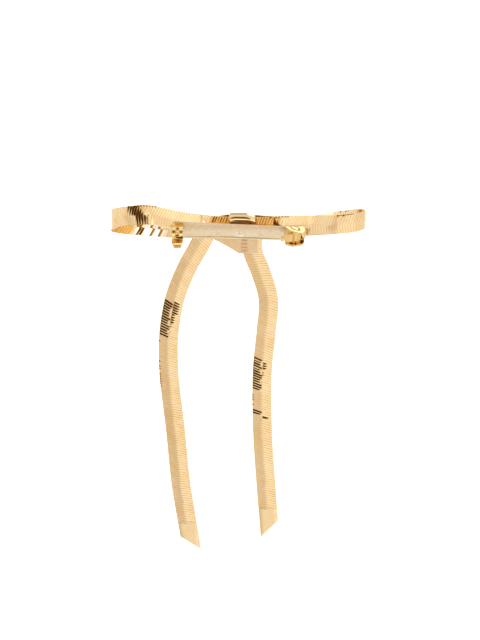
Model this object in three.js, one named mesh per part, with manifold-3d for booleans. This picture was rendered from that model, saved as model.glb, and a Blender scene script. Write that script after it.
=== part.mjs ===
// A bow brooch made of flat herringbone chain, carried on a bar pin.
// Millimetres, +Z up. The wearer's side is -Y and the bow's front is +Y.
// The origin is the centre of the bar plate's back face.
import * as THREE from 'three';
import { mergeVertices } from 'three/addons/utils/BufferGeometryUtils.js';
import Module from 'manifold-3d';

const wasm = await Module();
wasm.setup();

// ---------------------------------------------------------------- driving dimensions
const SEAT_GAP = 0.1; // between two pieces that are soldered or riveted together
const SLIDE_GAP = 0.3; // between a turning piece and the piece it turns in
const OVERLAP = 0.1; // how far two shapes run into each other before they are joined
const CUT_SPARE = 0.5; // how far a cutting shape runs past what it cuts

const CHAIN_WIDTH = 6;
const CHAIN_THICKNESS = 0.9;
const CHAIN_EDGE = 0.2; // chamfer along the chain's four long edges

const BAR_LENGTH = 40.5;
const BAR_HEIGHT = 5;
const BAR_THICKNESS = 0.8;
const BAR_CORNER = 1.2;

const BACKING_THICKNESS = 0.6;
const BACKING_LENGTH = 16.4;
const BACKING_TOP = 2.2; // above the bar's centre line
const FAN_DEPTH = 8.2; // the backing plate's lobe, below the bar's centre line
const FAN_RIGHT = 5.8;
const FAN_SHOULDER = 0.4; // straight edge left below the bar before the lobe curves in
const FAN_CURVE_X = -3.4; // control point of the lobe's slanting edge
const FAN_CURVE_DEPTH = 5.4;

const RIVET_DROP = 1.45; // rivets below the bar's centre line
const RIVET_SPACING = 6.6;
const CENTRE_RIVET_RADIUS = 0.6;
const SIDE_RIVET_RADIUS = 0.35;
const CENTRE_HEAD_RADIUS = 1.3;
const SIDE_HEAD_RADIUS = 0.6;
const CENTRE_HEAD_HEIGHT = 0.35;
const SIDE_HEAD_HEIGHT = 0.15;
const HEAD_SEAT = 0.02; // from a rivet's head to the plate under it
const HEAD_STEPS = 4;

const TAB_WIDTH = 1.6;
const TAB_THICKNESS = 0.35;
const TAB_RIDGES = 4;
const RIDGE_PITCH = 1.15;
const RIDGE_RADIUS = 0.38;
const TAB_X = 1.7;

const STEM_STANDOFF = 5; // stem's centre line to the bar's back face
const STEM_DROP = 0.45;
const STEM_RADIUS = 0.4;
const STEM_POINT = 6; // length of the ground point
const STEM_BOW = 0.25;
const STEM_TIP_INSET = 0.2; // the point's end, inside the catch's outer face
const POINT_PROFILE = [[0.5, 0.8], [0.1, 0.4]]; // shares of STEM_POINT left and of STEM_RADIUS

const CATCH_INSET = 1.75; // catch's middle from the bar's end
const CATCH_WIDTH = 4;
const CATCH_RADIUS = 3.4;
const CATCH_WALL = 1.05;
const CATCH_FOOT_THICKNESS = 0.6;
const CATCH_NECK_HEIGHT = 3.2;
const CATCH_NECK_WIDTH = 3.2;
const CATCH_NECK_BITE = 0.3; // how deep the neck runs into the ring's wall
const CATCH_FOOT_MARGIN = 0.2; // from the foot's edge to the bar's
const MOUTH_CLEARANCE = 0.25; // each side of the stem, in the catch's mouth
const SLEEVE_OVERHANG = 0.25; // the sleeve past each face of the catch
const SLEEVE_BORE_RADIUS = 0.9;
const LEVER_WIDTH = 0.9;
const LEVER_REACH = 4.1; // from the catch's axis
const LEVER_REST = 38; // degrees above the mouth
const LEVER_TRAVEL = 85; // degrees
const LEVER_SPARE = 4; // degrees of slot left past each end of the travel

const HINGE_INSET = 3.35; // hinge pin from the bar's end
const HINGE_STANDOFF = 3.7;
const HINGE_RAISE = 0.4; // hinge's middle above the bar's centre line
const HINGE_HEIGHT = 5.8;
const EAR_RADIUS = 2.9;
const EAR_THICKNESS = 0.7;
const HINGE_FOOT_THICKNESS = 0.6;
const HINGE_PIN_RADIUS = 0.7;
const HINGE_HEAD_RADIUS = 1.5;
const HINGE_HEAD_HEIGHT = 0.4;
const HINGE_HEAD_GAP = 0.05;
const EAR_HOLE_GAP = 0.1;
const KNUCKLE_BORE_GAP = 0.1;
const KNUCKLE_END_GAP = 0.2;
const KNUCKLE_RADIUS = 1.8;
const COLLAR_LENGTH = 0.9;
const COLLAR_HEIGHT = 3.4;
const COLLAR_THICKNESS = 1.2;
const COLLAR_GAP = 0.45; // collar to the ears' round edge
const TONGUE_HALF_THICKNESS = 0.5;
const TONGUE_ROOT = 1; // how far the tongue reaches into the knuckle, at least
const TONGUE_STEP = 0.6; // how much lower the tongue is than the knuckle

const KNOT_X = 1;
const KNOT_WIDTH = 8;
const KNOT_DROP = 0.2; // the knot's middle below the bar's centre line
const KNOT_CORNER = 2;
const KNOT_EXIT = 0.6; // how far the loops run on straight outside the knot
const CORE_THICKNESS = 1.4;
const LOOP_END_GAP = 0.4; // between the two loops' cut ends, inside the knot

const TAIL_CLEARANCE = 0.15; // tail to the rivets' ends behind it
const WRAP_CLEARANCE = 0.2; // tail to the knot's wrap in front of it
const TAIL_HINGE_GAP = 0.7;
const TAIL_TIP_LENGTH = 8;
const TAIL_TIP_SLANT = 5.5; // how much longer the inner edge of a tip is
const LEFT_ROOT_LENGTH = 4.4;
const RIGHT_ROOT_LENGTH = 10.6;
const UPPER_TAIL_LENGTH = 48;

// ---------------------------------------------------------------- derived places
const CATCH_X = -BAR_LENGTH / 2 + CATCH_INSET;
const HINGE_X = BAR_LENGTH / 2 - HINGE_INSET;
const BACKING_BACK = BAR_THICKNESS + SEAT_GAP;
const BACKING_FRONT = BACKING_BACK + BACKING_THICKNESS;
const RIVET_END = BACKING_FRONT + SEAT_GAP;
const TAIL_Y = RIVET_END + TAIL_CLEARANCE + CHAIN_THICKNESS / 2;
const WRAP_BACK = TAIL_Y + CHAIN_THICKNESS / 2 + WRAP_CLEARANCE;
const NEAR_Y = WRAP_BACK + CHAIN_THICKNESS + SEAT_GAP + CHAIN_THICKNESS / 2;
const CORE_Y = NEAR_Y + CHAIN_THICKNESS / 2 + SEAT_GAP + CORE_THICKNESS / 2;
const FAR_Y = CORE_Y + CORE_THICKNESS / 2 + SEAT_GAP + CHAIN_THICKNESS / 2;
const WRAP_FRONT = FAR_Y + CHAIN_THICKNESS / 2 + SEAT_GAP + CHAIN_THICKNESS;
const WRAP_HEIGHT = CHAIN_WIDTH + 2 * (SLIDE_GAP + CHAIN_THICKNESS);
const KNOT_Z = -KNOT_DROP;

// ---------------------------------------------------------------- materials
function metal(colour, roughness) {
  return new THREE.MeshStandardMaterial({ color: colour, roughness, metalness: 1 });
}

const PLATE_GOLD = metal(0xe8cfa6, 0.32);
const CHAIN_GOLD = metal(0xe9c887, 0.22);
const KNOT_GOLD = metal(0xe3bd77, 0.2);
const FITTING_GOLD = metal(0xe0b052, 0.16);
const STEM_GOLD = metal(0xf0dcae, 0.12);

// ---------------------------------------------------------------- geometry helpers
const X_AXIS = new THREE.Vector3(1, 0, 0);
const Y_AXIS = new THREE.Vector3(0, 1, 0);
const Z_AXIS = new THREE.Vector3(0, 0, 1);

function bareGeometry(geometry) {
  const bare = geometry.clone();
  bare.deleteAttribute('normal');
  bare.deleteAttribute('uv');
  return mergeVertices(bare, 1e-4);
}

function toSolid(geometry) {
  const merged = bareGeometry(geometry);
  const index = merged.getIndex().array;
  const corners = [];
  for (let i = 0; i < index.length; i += 3) {
    const [a, b, c] = [index[i], index[i + 1], index[i + 2]];
    if (a !== b && b !== c && c !== a) corners.push(a, b, c);
  }
  return new wasm.Manifold(new wasm.Mesh({
    numProp: 3,
    vertProperties: new Float32Array(merged.getAttribute('position').array),
    triVerts: new Uint32Array(corners),
  }));
}

function fromSolid(solid) {
  const mesh = solid.getMesh();
  const geometry = new THREE.BufferGeometry();
  geometry.setAttribute('position', new THREE.BufferAttribute(mesh.vertProperties, 3));
  geometry.setIndex(new THREE.BufferAttribute(mesh.triVerts, 1));
  geometry.computeVertexNormals();
  return geometry;
}

function combine(base, joined, cut) {
  let solid = toSolid(base);
  for (const geometry of joined) solid = solid.add(toSolid(geometry));
  for (const geometry of cut) solid = solid.subtract(toSolid(geometry));
  return fromSolid(solid);
}

// An outline drawn in (y, z), as a bar along X with its middle at x = 0.
function alongX(shape, width, curveSegments = 12) {
  const geometry = new THREE.ExtrudeGeometry(shape, { depth: width, bevelEnabled: false, curveSegments });
  geometry.translate(0, 0, -width / 2);
  return geometry.applyMatrix4(new THREE.Matrix4().makeBasis(Y_AXIS, Z_AXIS, X_AXIS));
}

// An outline drawn in (x, z), as a plate from y = back to y = back + thickness.
function alongY(shape, back, thickness, curveSegments = 12) {
  const options = { depth: thickness, bevelEnabled: false, curveSegments };
  const geometry = new THREE.ExtrudeGeometry(shape, options);
  geometry.applyMatrix4(new THREE.Matrix4().makeBasis(X_AXIS, Z_AXIS, Y_AXIS.clone().negate()));
  return geometry.translate(0, back + thickness, 0);
}

// An outline drawn in (x, y), as a block from z = low to z = low + height.
function alongZ(shape, low, height, curveSegments = 12) {
  const geometry = new THREE.ExtrudeGeometry(shape, { depth: height, bevelEnabled: false, curveSegments });
  return geometry.translate(0, 0, low);
}

function roundedRectangle(left, bottom, right, top, corner) {
  const shape = new THREE.Shape();
  shape.moveTo(left + corner, bottom);
  shape.lineTo(right - corner, bottom);
  shape.absarc(right - corner, bottom + corner, corner, -Math.PI / 2, 0, false);
  shape.lineTo(right, top - corner);
  shape.absarc(right - corner, top - corner, corner, 0, Math.PI / 2, false);
  shape.lineTo(left + corner, top);
  shape.absarc(left + corner, top - corner, corner, Math.PI / 2, Math.PI, false);
  shape.lineTo(left, bottom + corner);
  shape.absarc(left + corner, bottom + corner, corner, Math.PI, 1.5 * Math.PI, false);
  return shape;
}

function rectangle(left, bottom, right, top) {
  return new THREE.Shape([
    new THREE.Vector2(left, bottom),
    new THREE.Vector2(right, bottom),
    new THREE.Vector2(right, top),
    new THREE.Vector2(left, top),
  ]);
}

function circle(x, y, radius) {
  return new THREE.Shape().absarc(x, y, radius, 0, 2 * Math.PI, false);
}

function piece(name, geometry, material, parent) {
  const mesh = new THREE.Mesh(geometry, material);
  mesh.name = name;
  parent.add(mesh);
  return mesh;
}

// ---------------------------------------------------------------- chain
// A flat chain's cross-section: x is its thickness and y its width.
function chainSection() {
  const t = CHAIN_THICKNESS / 2;
  const w = CHAIN_WIDTH / 2;
  const e = CHAIN_EDGE;
  return new THREE.Shape([
    new THREE.Vector2(t, -w + e),
    new THREE.Vector2(t, w - e),
    new THREE.Vector2(t - e, w),
    new THREE.Vector2(-t + e, w),
    new THREE.Vector2(-t, w - e),
    new THREE.Vector2(-t, -w + e),
    new THREE.Vector2(-t + e, -w),
    new THREE.Vector2(t - e, -w),
  ]);
}

// A length of flat chain along a curve, from one arc length to another. The chain's width
// points along widthHint, square to the curve. slant makes its far end longer on one edge.
function chainPiece(curve, from, to, steps, widthHint, slant = 0) {
  const total = curve.getLength();
  const options = { depth: 1, steps, bevelEnabled: false };
  const geometry = new THREE.ExtrudeGeometry(chainSection(), options);
  const position = geometry.getAttribute('position');
  for (let i = 0; i < position.count; i += 1) {
    const across = position.getY(i);
    const end = to + (slant * across) / CHAIN_WIDTH;
    const place = THREE.MathUtils.lerp(from, end, position.getZ(i));
    const past = Math.max(0, place - total);
    const fraction = Math.min(place / total, 1);
    const tangent = curve.getTangentAt(fraction);
    const width = widthHint.clone().addScaledVector(tangent, -widthHint.dot(tangent)).normalize();
    const normal = width.clone().cross(tangent);
    const point = curve.getPointAt(fraction);
    point.addScaledVector(tangent, past);
    point.addScaledVector(width, across);
    point.addScaledVector(normal, position.getX(i));
    position.setXYZ(i, point.x, point.y, point.z);
  }
  geometry.computeVertexNormals();
  return geometry;
}

function curveThrough(points) {
  const curve = new THREE.CatmullRomCurve3(points.map((p) => new THREE.Vector3(...p)));
  curve.arcLengthDivisions = 600;
  return curve;
}

// ---------------------------------------------------------------- bar and backing plate
function rivetPlaces() {
  return [
    { name: 'centre_rivet', x: 0, radius: CENTRE_RIVET_RADIUS },
    { name: 'left_rivet', x: -RIVET_SPACING, radius: SIDE_RIVET_RADIUS },
    { name: 'right_rivet', x: RIVET_SPACING, radius: SIDE_RIVET_RADIUS },
  ];
}

// The outline of a domed head, from its rim at height low up to the axis at height high.
function dome(radius, low, high) {
  const points = [];
  for (let step = 0; step <= HEAD_STEPS; step += 1) {
    const angle = (step / HEAD_STEPS) * (Math.PI / 2);
    const out = step === HEAD_STEPS ? 0 : radius * Math.cos(angle);
    points.push(new THREE.Vector2(out, low + (high - low) * Math.sin(angle)));
  }
  return points;
}

function addRivetHoles(shape) {
  for (const rivet of rivetPlaces()) {
    shape.holes.push(circle(rivet.x, -RIVET_DROP, rivet.radius + SEAT_GAP));
  }
}

function barPlate(parent) {
  const half = BAR_LENGTH / 2;
  const shape = roundedRectangle(-half, -BAR_HEIGHT / 2, half, BAR_HEIGHT / 2, BAR_CORNER);
  addRivetHoles(shape);
  piece('bar_plate', alongY(shape, 0, BAR_THICKNESS), PLATE_GOLD, parent);
}

// A strip behind the bar, with a fan-shaped lobe that hangs below it.
function backingPlate(parent) {
  const half = BACKING_LENGTH / 2;
  const shoulder = -BAR_HEIGHT / 2 - FAN_SHOULDER;
  const shape = new THREE.Shape();
  shape.moveTo(-half, shoulder);
  shape.quadraticCurveTo(FAN_CURVE_X, -FAN_CURVE_DEPTH, 0, -FAN_DEPTH);
  shape.lineTo(FAN_RIGHT, -FAN_DEPTH);
  shape.lineTo(FAN_RIGHT, shoulder);
  shape.lineTo(half, shoulder);
  shape.lineTo(half, BACKING_TOP);
  shape.lineTo(-half, BACKING_TOP);
  shape.closePath();
  addRivetHoles(shape);
  piece('backing_plate', alongY(shape, BACKING_BACK, BACKING_THICKNESS), PLATE_GOLD, parent);
}

function rivets(parent) {
  for (const rivet of rivetPlaces()) {
    const central = rivet.x === 0;
    const headRadius = central ? CENTRE_HEAD_RADIUS : SIDE_HEAD_RADIUS;
    const headHeight = central ? CENTRE_HEAD_HEIGHT : SIDE_HEAD_HEIGHT;
    const profile = [new THREE.Vector2(0, -RIVET_END), new THREE.Vector2(rivet.radius, -RIVET_END)];
    profile.push(new THREE.Vector2(rivet.radius, HEAD_SEAT), ...dome(headRadius, HEAD_SEAT, headHeight));
    const mesh = piece(rivet.name, new THREE.LatheGeometry(profile, 20), FITTING_GOLD, parent);
    mesh.rotation.x = Math.PI;
    mesh.position.set(rivet.x, 0, -RIVET_DROP);
  }
}

// A narrow strip of half-round ridges soldered to the lobe, just below the bar.
function ribbedTab(parent) {
  const back = BACKING_BACK - SEAT_GAP;
  const face = back - TAB_THICKNESS;
  const top = -BAR_HEIGHT / 2 - SLIDE_GAP;
  const shape = new THREE.Shape();
  shape.moveTo(back, top);
  shape.lineTo(face, top);
  for (let ridge = 0; ridge < TAB_RIDGES; ridge += 1) {
    const middle = top - RIDGE_PITCH * (ridge + 0.5);
    shape.lineTo(face, middle + RIDGE_RADIUS);
    shape.absarc(face, middle, RIDGE_RADIUS, Math.PI / 2, 1.5 * Math.PI, false);
  }
  const bottom = top - RIDGE_PITCH * TAB_RIDGES;
  shape.lineTo(face, bottom);
  shape.lineTo(back, bottom);
  shape.closePath();
  const mesh = piece('ribbed_tab', alongX(shape, TAB_WIDTH, 6), PLATE_GOLD, parent);
  mesh.position.x = TAB_X;
}

// ---------------------------------------------------------------- catch
// Angles run from the mouth, which faces -Y, up towards +Z.
function polar(radius, degrees) {
  const angle = THREE.MathUtils.degToRad(degrees);
  return new THREE.Vector2(-radius * Math.cos(angle), radius * Math.sin(angle));
}

function sector(inner, outer, fromDegrees, toDegrees, steps) {
  const points = [];
  for (let i = 0; i <= steps; i += 1) {
    points.push(polar(outer, THREE.MathUtils.lerp(fromDegrees, toDegrees, i / steps)));
  }
  for (let i = steps; i >= 0; i -= 1) {
    points.push(polar(inner, THREE.MathUtils.lerp(fromDegrees, toDegrees, i / steps)));
  }
  return new THREE.Shape(points);
}

function ring(outer, inner) {
  const shape = circle(0, 0, outer);
  shape.holes.push(circle(0, 0, inner));
  return shape;
}

function mouthCut(reach) {
  const half = STEM_RADIUS + MOUTH_CLEARANCE;
  return alongX(rectangle(-reach - CUT_SPARE, -half, 0, half), CATCH_WIDTH * 2);
}

function catchBody(parent) {
  const inner = CATCH_RADIUS - CATCH_WALL;
  const plateFace = STEM_STANDOFF - SEAT_GAP;
  const footBack = plateFace - CATCH_FOOT_THICKNESS;
  const neckHalf = CATCH_NECK_HEIGHT / 2;
  const neckStart = CATCH_RADIUS - CATCH_NECK_BITE;
  const neckShape = rectangle(neckStart, -neckHalf, footBack + OVERLAP, neckHalf);
  const neck = alongX(neckShape, CATCH_NECK_WIDTH);
  const footHalf = BAR_HEIGHT / 2 - CATCH_FOOT_MARGIN;
  const foot = alongX(
    rectangle(footBack, STEM_DROP - footHalf, plateFace, STEM_DROP + footHalf),
    2 * (CATCH_INSET - CATCH_FOOT_MARGIN),
  );
  const slotStart = LEVER_REST - LEVER_SPARE - leverHalfAngle();
  const slotEnd = LEVER_REST + LEVER_TRAVEL + LEVER_SPARE + leverHalfAngle();
  const slot = alongX(
    sector(inner - CUT_SPARE, CATCH_RADIUS + CUT_SPARE, slotStart, slotEnd, 14),
    LEVER_WIDTH + SLIDE_GAP,
  );
  const geometry = combine(
    alongX(ring(CATCH_RADIUS, inner), CATCH_WIDTH, 20),
    [neck, foot],
    [mouthCut(CATCH_RADIUS), slot],
  );
  piece('catch_body', geometry, FITTING_GOLD, parent);
}

function leverHalfAngle() {
  const inner = CATCH_RADIUS - CATCH_WALL;
  return THREE.MathUtils.radToDeg(Math.asin(LEVER_WIDTH / 2 / inner));
}

function catchSleeve(parent) {
  const outer = CATCH_RADIUS - CATCH_WALL - SLIDE_GAP;
  const lever = alongX(
    roundedRectangle(
      -LEVER_REACH, -LEVER_WIDTH / 2,
      -(SLEEVE_BORE_RADIUS + outer) / 2, LEVER_WIDTH / 2,
      LEVER_WIDTH * 0.45,
    ),
    LEVER_WIDTH,
    4,
  );
  lever.applyMatrix4(new THREE.Matrix4().makeRotationX(-THREE.MathUtils.degToRad(LEVER_REST)));
  const geometry = combine(
    alongX(ring(outer, SLEEVE_BORE_RADIUS), CATCH_WIDTH + 2 * SLEEVE_OVERHANG, 16),
    [lever],
    [mouthCut(outer)],
  );
  piece('catch_sleeve', geometry, FITTING_GOLD, parent);
}

function catchGroup(parent) {
  const group = new THREE.Group();
  group.position.set(CATCH_X, -STEM_STANDOFF, -STEM_DROP);
  catchBody(group);
  catchSleeve(group);
  parent.add(group);
}

// ---------------------------------------------------------------- hinge and pin
function earShape() {
  const root = HINGE_STANDOFF - SEAT_GAP;
  const shape = new THREE.Shape();
  shape.moveTo(EAR_RADIUS, root);
  shape.lineTo(-EAR_RADIUS, root);
  shape.lineTo(-EAR_RADIUS, 0);
  shape.absarc(0, 0, EAR_RADIUS, Math.PI, 2 * Math.PI, false);
  shape.closePath();
  shape.holes.push(circle(0, 0, HINGE_PIN_RADIUS + EAR_HOLE_GAP));
  return shape;
}

function hingeBracket(parent) {
  const low = -HINGE_HEIGHT / 2;
  const root = HINGE_STANDOFF - SEAT_GAP;
  const foot = alongZ(
    rectangle(-EAR_RADIUS, root - HINGE_FOOT_THICKNESS, EAR_RADIUS, root),
    low,
    HINGE_HEIGHT,
  );
  const ear = (bottom) => alongZ(earShape(), bottom, EAR_THICKNESS, 16);
  const geometry = combine(foot, [ear(low), ear(-low - EAR_THICKNESS)], []);
  piece('hinge_bracket', geometry, FITTING_GOLD, parent);
}

function hingePin(parent) {
  const half = HINGE_HEIGHT / 2;
  const under = half + HINGE_HEAD_GAP;
  const upper = dome(HINGE_HEAD_RADIUS, under, under + HINGE_HEAD_HEIGHT);
  upper.unshift(new THREE.Vector2(HINGE_PIN_RADIUS, under));
  const lower = upper.map((point) => new THREE.Vector2(point.x, -point.y)).reverse();
  const geometry = new THREE.LatheGeometry([...lower, ...upper], 24);
  const mesh = piece('hinge_pin', geometry, FITTING_GOLD, parent);
  mesh.rotation.x = Math.PI / 2;
}

// The knuckle turns on the hinge pin. Its tongue carries a collar that holds the stem.
function pinKnuckle(parent) {
  const gapHalf = HINGE_HEIGHT / 2 - EAR_THICKNESS - KNUCKLE_END_GAP;
  const stemY = HINGE_STANDOFF - STEM_STANDOFF;
  const stemZ = -STEM_DROP - HINGE_RAISE;
  const collarRight = -EAR_RADIUS - COLLAR_GAP;
  const tube = alongZ(circle(0, 0, KNUCKLE_RADIUS), -gapHalf, 2 * gapHalf, 20);
  const boreRadius = HINGE_PIN_RADIUS + KNUCKLE_BORE_GAP;
  const bore = alongZ(circle(0, 0, boreRadius), -HINGE_HEIGHT / 2, HINGE_HEIGHT, 20);
  const tongueBack = stemY - TONGUE_HALF_THICKNESS;
  const tongueFront = Math.max(stemY + TONGUE_HALF_THICKNESS, TONGUE_ROOT - KNUCKLE_RADIUS);
  const tongue = alongZ(
    rectangle(collarRight - OVERLAP, tongueBack, -HINGE_PIN_RADIUS, tongueFront),
    -gapHalf,
    2 * gapHalf - TONGUE_STEP,
  );
  const collar = new THREE.BoxGeometry(COLLAR_LENGTH, COLLAR_THICKNESS, COLLAR_HEIGHT);
  collar.translate(collarRight - COLLAR_LENGTH / 2, stemY, stemZ);
  const geometry = combine(tube, [tongue, collar], [bore]);
  piece('pin_knuckle', geometry, FITTING_GOLD, parent);
}

function pinStem(parent) {
  const start = HINGE_X - EAR_RADIUS - COLLAR_GAP - COLLAR_LENGTH - SEAT_GAP;
  const tip = CATCH_X - CATCH_WIDTH / 2 + STEM_TIP_INSET;
  const length = start - tip;
  const bodySteps = 14;
  const profile = [new THREE.Vector2(0, 0)];
  for (let step = 0; step <= bodySteps; step += 1) {
    profile.push(new THREE.Vector2(STEM_RADIUS, ((length - STEM_POINT) * step) / bodySteps));
  }
  for (const [left, share] of POINT_PROFILE) {
    profile.push(new THREE.Vector2(STEM_RADIUS * share, length - STEM_POINT * left));
  }
  profile.push(new THREE.Vector2(0, length));
  const geometry = new THREE.LatheGeometry(profile, 12);
  const position = geometry.getAttribute('position');
  for (let i = 0; i < position.count; i += 1) {
    const along = position.getY(i) / length;
    position.setZ(i, position.getZ(i) - STEM_BOW * Math.sin(Math.PI * along));
  }
  geometry.rotateZ(Math.PI / 2);
  geometry.rotateX(Math.PI / 2);
  const mesh = piece('pin_stem', geometry, STEM_GOLD, parent);
  mesh.position.set(start, -STEM_STANDOFF, -STEM_DROP);
}

function hingeGroup(parent) {
  const group = new THREE.Group();
  group.position.set(HINGE_X, -HINGE_STANDOFF, HINGE_RAISE);
  hingeBracket(group);
  hingePin(group);
  pinKnuckle(group);
  parent.add(group);
}

// ---------------------------------------------------------------- knot
function knot(parent) {
  const half = WRAP_HEIGHT / 2;
  const outer = roundedRectangle(WRAP_BACK, KNOT_Z - half, WRAP_FRONT, KNOT_Z + half, KNOT_CORNER);
  const t = CHAIN_THICKNESS;
  const inner = rectangle(WRAP_BACK + t, KNOT_Z - half + t, WRAP_FRONT - t, KNOT_Z + half - t);
  outer.holes.push(inner);
  piece('knot_wrap', alongX(outer, KNOT_WIDTH, 8), KNOT_GOLD, parent).position.x = KNOT_X;

  const coreLength = KNOT_WIDTH - 2 * SLIDE_GAP;
  const core = new THREE.BoxGeometry(coreLength, CORE_THICKNESS, CHAIN_WIDTH);
  piece('knot_core', core, FITTING_GOLD, parent).position.set(KNOT_X, CORE_Y, KNOT_Z);
}

// ---------------------------------------------------------------- loops
// Each loop leaves the knot on the wearer's side, turns at its outer end and comes back in
// front. The points between are [x, y, z] on the chain's centre line.
const LEFT_LOOP_ROUTE = [
  [-10.5, 4.0, 0.3],
  [-18.5, 2.5, 2.0],
  [-27.5, 1.6, 3.9],
  [-34.5, 2.3, 3.3],
  [-38.0, 4.3, 1.7],
  [-38.2, 7.2, -0.4],
  [-34.8, 9.3, -2.0],
  [-27.5, 9.9, -2.9],
  [-20.5, 9.3, -3.2],
  [-12.0, 8.0, -2.4],
];

const RIGHT_LOOP_ROUTE = [
  [12.0, 4.1, 0.0],
  [21.8, 2.5, 1.0],
  [30.5, 1.7, 2.1],
  [35.6, 2.6, 2.5],
  [38.0, 4.6, 2.6],
  [38.0, 7.0, 2.2],
  [35.0, 9.2, 1.4],
  [29.5, 9.8, 0.5],
  [21.5, 9.2, -0.9],
  [12.5, 8.1, -0.9],
];

function loop(name, route, side, parent) {
  const endX = KNOT_X + (side * LOOP_END_GAP) / 2;
  const exitX = KNOT_X + side * (KNOT_WIDTH / 2 + KNOT_EXIT);
  const curve = curveThrough([
    [endX, NEAR_Y, KNOT_Z],
    [exitX, NEAR_Y, KNOT_Z],
    ...route,
    [exitX, FAR_Y, KNOT_Z],
    [endX, FAR_Y, KNOT_Z],
  ]);
  const geometry = chainPiece(curve, 0, curve.getLength(), 76, Z_AXIS);
  piece(name, geometry, CHAIN_GOLD, parent);
}

// ---------------------------------------------------------------- tails
// Centre lines as [x, z], from the soldered end down to the middle of the cut tip.
const LEFT_TAIL_ROUTE = [
  [-9.2, 0.5],
  [-11.1, -4],
  [-15.7, -13],
  [-19.3, -23],
  [-21.1, -35],
  [-21.0, -48],
  [-18.9, -67],
  [-17.0, -86],
  [-15.3, -97],
  [-13.7, -106.9],
];

const RIGHT_TAIL_ROUTE = [
  [4.3, 1],
  [4.3, -7],
  [6.9, -14],
  [9.4, -23],
  [8.9, -34],
  [8.0, -47],
  [8.5, -68],
  [10.0, -87],
  [11.3, -101.5],
];

function tail(side, route, rootLength, parent) {
  const curve = curveThrough(route.map(([x, z]) => [x, TAIL_Y, z]));
  const total = curve.getLength();
  const half = TAIL_HINGE_GAP / 2;
  const pivot = rootLength;
  const bend = pivot + UPPER_TAIL_LENGTH;
  const tipStart = total - TAIL_TIP_LENGTH;
  const inward = side === 'left' ? 1 : -1;
  const add = (part, from, to, steps, slant) => {
    const geometry = chainPiece(curve, from, to, steps, X_AXIS, slant);
    piece(`${side}_tail_${part}`, geometry, CHAIN_GOLD, parent);
  };
  add('root', 0, pivot - half, 5, 0);
  add('upper', pivot + half, bend - half, 24, 0);
  add('lower', bend + half, tipStart, 20, 0);
  add('tip', tipStart + SEAT_GAP, total, 5, inward * TAIL_TIP_SLANT);
}

// ---------------------------------------------------------------- assembly
const brooch = new THREE.Group();
barPlate(brooch);
backingPlate(brooch);
rivets(brooch);
ribbedTab(brooch);
catchGroup(brooch);
hingeGroup(brooch);
pinStem(brooch);
knot(brooch);
loop('left_loop', LEFT_LOOP_ROUTE, -1, brooch);
loop('right_loop', RIGHT_LOOP_ROUTE, 1, brooch);
tail('left', LEFT_TAIL_ROUTE, LEFT_ROOT_LENGTH, brooch);
tail('right', RIGHT_TAIL_ROUTE, RIGHT_ROOT_LENGTH, brooch);

export default brooch;
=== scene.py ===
"""A bow brooch of flat herringbone chain, seen from the wearer's side. Metres, in the CAD's frame."""

import math
import random
from typing import NamedTuple

import bmesh
import bpy
import numpy as np
from mathutils import Matrix, Vector


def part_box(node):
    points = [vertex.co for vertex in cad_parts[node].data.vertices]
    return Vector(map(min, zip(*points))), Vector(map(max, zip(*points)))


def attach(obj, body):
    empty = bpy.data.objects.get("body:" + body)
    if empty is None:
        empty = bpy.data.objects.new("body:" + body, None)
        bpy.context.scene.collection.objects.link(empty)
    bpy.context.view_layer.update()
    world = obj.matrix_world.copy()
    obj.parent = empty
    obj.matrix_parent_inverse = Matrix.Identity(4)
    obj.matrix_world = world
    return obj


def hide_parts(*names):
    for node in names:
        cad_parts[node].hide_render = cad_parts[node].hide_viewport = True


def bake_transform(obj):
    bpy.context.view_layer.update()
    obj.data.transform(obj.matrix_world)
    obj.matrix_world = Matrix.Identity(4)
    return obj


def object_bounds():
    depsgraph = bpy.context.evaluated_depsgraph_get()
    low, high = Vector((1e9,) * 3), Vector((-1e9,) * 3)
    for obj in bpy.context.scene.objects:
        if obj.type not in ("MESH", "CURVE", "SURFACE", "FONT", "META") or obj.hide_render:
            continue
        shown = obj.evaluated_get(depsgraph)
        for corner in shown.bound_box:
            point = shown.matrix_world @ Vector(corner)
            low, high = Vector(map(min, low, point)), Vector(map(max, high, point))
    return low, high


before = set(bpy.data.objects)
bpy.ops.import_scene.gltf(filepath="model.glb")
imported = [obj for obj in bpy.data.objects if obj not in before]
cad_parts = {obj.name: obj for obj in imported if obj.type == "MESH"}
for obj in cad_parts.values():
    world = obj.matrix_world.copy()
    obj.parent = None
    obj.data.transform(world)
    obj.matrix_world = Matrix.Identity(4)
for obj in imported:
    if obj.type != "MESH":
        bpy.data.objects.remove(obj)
cad_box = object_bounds()

MM = 0.001
X_AXIS = np.array([1.0, 0.0, 0.0])
Z_AXIS = np.array([0.0, 0.0, 1.0])

# ---------------------------------------------------------------- driving dimensions, in millimetres
# They are the same as in the CAD.
CHAIN_WIDTH = 6.0
CHAIN_THICKNESS = 0.9

KNOT_X = 1.0
KNOT_Z = -0.2
KNOT_WIDTH = 8.0
KNOT_EXIT = 0.6  # from the knot's side to where a loop begins to curve
KNOT_CORNER = 2.0
LOOP_END_GAP = 0.4  # between the two loops' ends, inside the knot
NEAR_Y = 4.3  # the loops' near and far strips, inside the knot
FAR_Y = 6.8
TAIL_Y = 2.2

LEFT_ROOT_LENGTH = 4.4  # from a tail's start to where it swings
RIGHT_ROOT_LENGTH = 10.6
UPPER_TAIL_LENGTH = 48.0  # from there to where it bends
TAIL_TIP_LENGTH = 8.0
TAIL_TIP_SLANT = 5.5

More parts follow.
